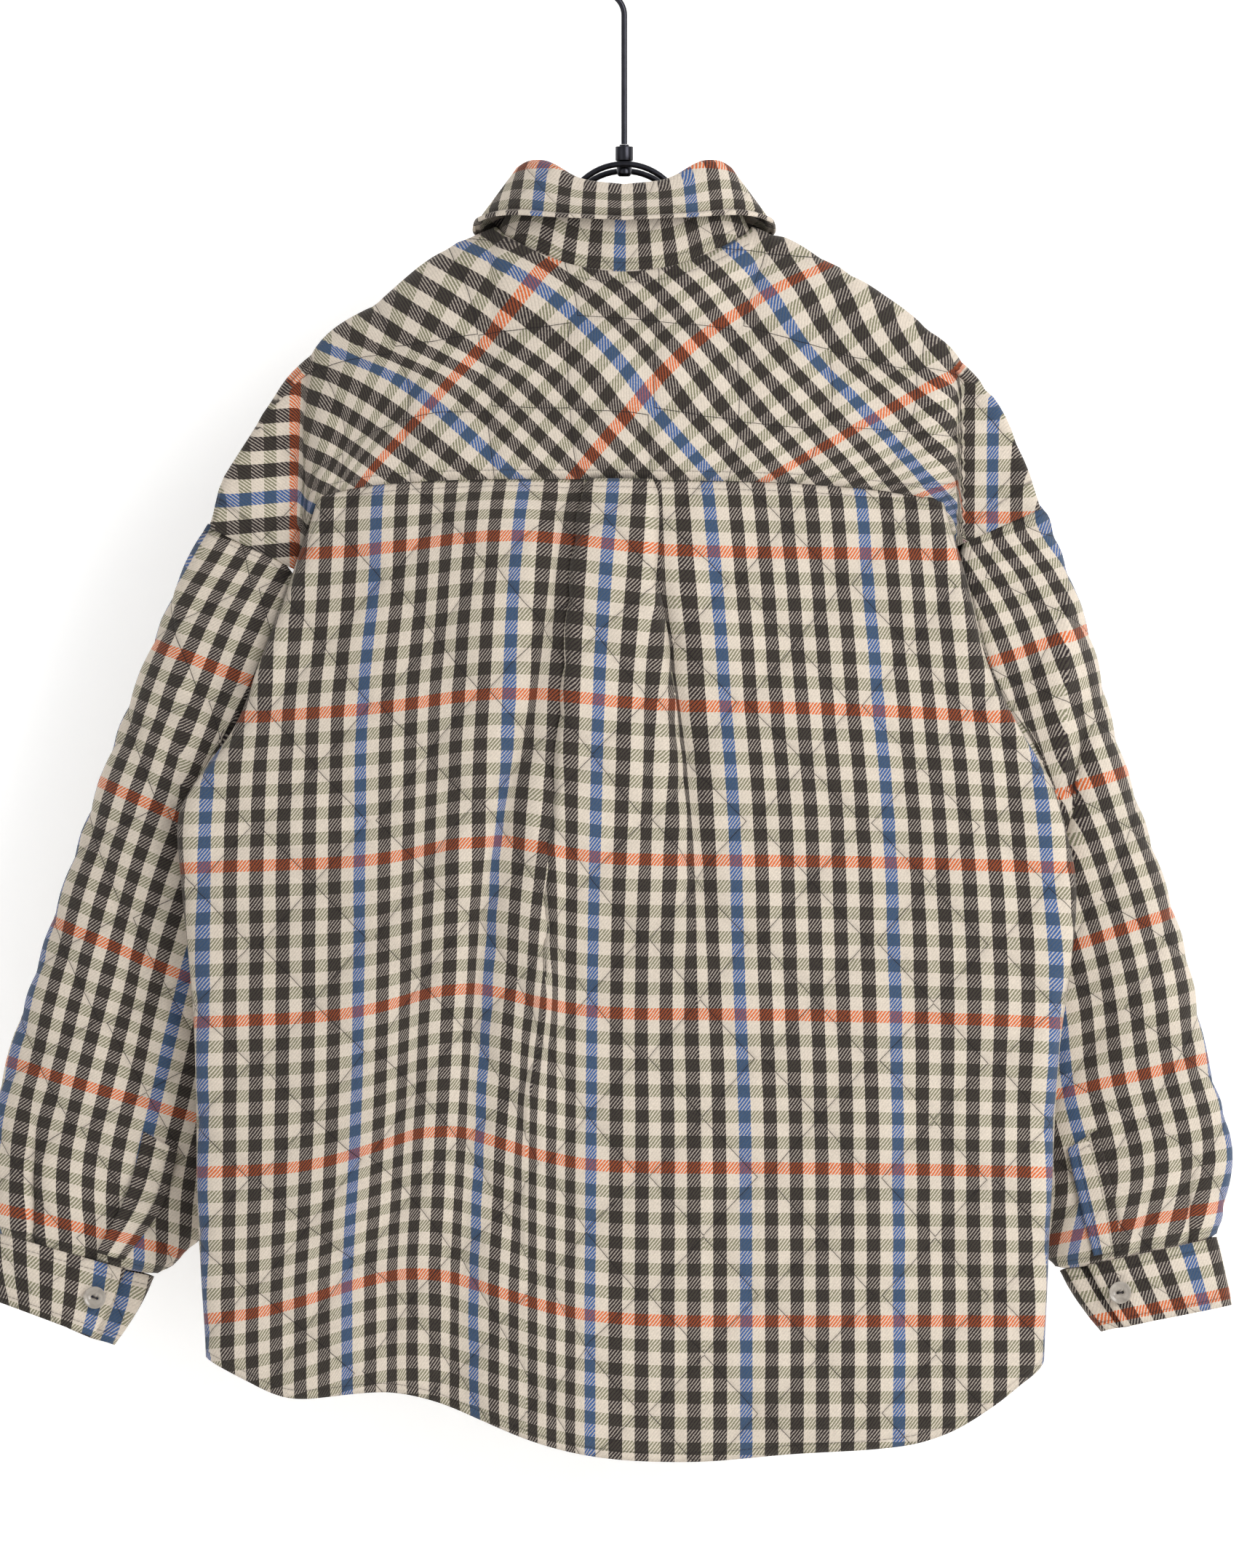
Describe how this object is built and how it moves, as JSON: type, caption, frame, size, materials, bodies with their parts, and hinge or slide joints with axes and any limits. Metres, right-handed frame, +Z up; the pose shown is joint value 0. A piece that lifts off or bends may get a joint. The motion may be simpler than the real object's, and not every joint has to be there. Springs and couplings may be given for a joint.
{
  "type": "shacket on a wire hanger",
  "caption": "Oversized quilted check shirt-jacket with collar, yoke, cuffs and shirt-tail hem, hung on a double-wire hanger.",
  "frame": {"origin": "where a rail touches the inside of the hanger's hook, at its top", "axes": "+Z up, the garment's back faces -Y and its buttoned front faces +Y, +X is to the wearer's right"},
  "size_m": [0.8281, 0.1384, 1.024],
  "materials": {
    "cloth": "quilted check twill",
    "yoke": "quilted check twill cut on the bias",
    "trim": "plain sewn check twill",
    "button": "pearly resin",
    "wire": "black lacquer"
  },
  "bodies": {
    "root": {"back": "cloth", "yoke": "yoke", "front_left": "cloth", "front_right": "cloth", "front_band": "trim", "collar_stand": "trim", "collar_leaf": "trim", "sleeve_left": "cloth", "sleeve_right": "cloth", "sleeve_placket_left": "trim", "sleeve_placket_right": "trim", "cuff_left": "trim", "cuff_right": "trim", "cuff_button_left": "button", "cuff_button_right": "button", "hanger_hook": "wire", "hanger_collar": "wire", "hanger_wire_back": "wire", "hanger_wire_front": "wire", "front_button_1": "button", "front_button_2": "button", "front_button_3": "button", "front_button_4": "button", "front_button_5": "button", "front_button_6": "button"}
  },
  "joints": []
}
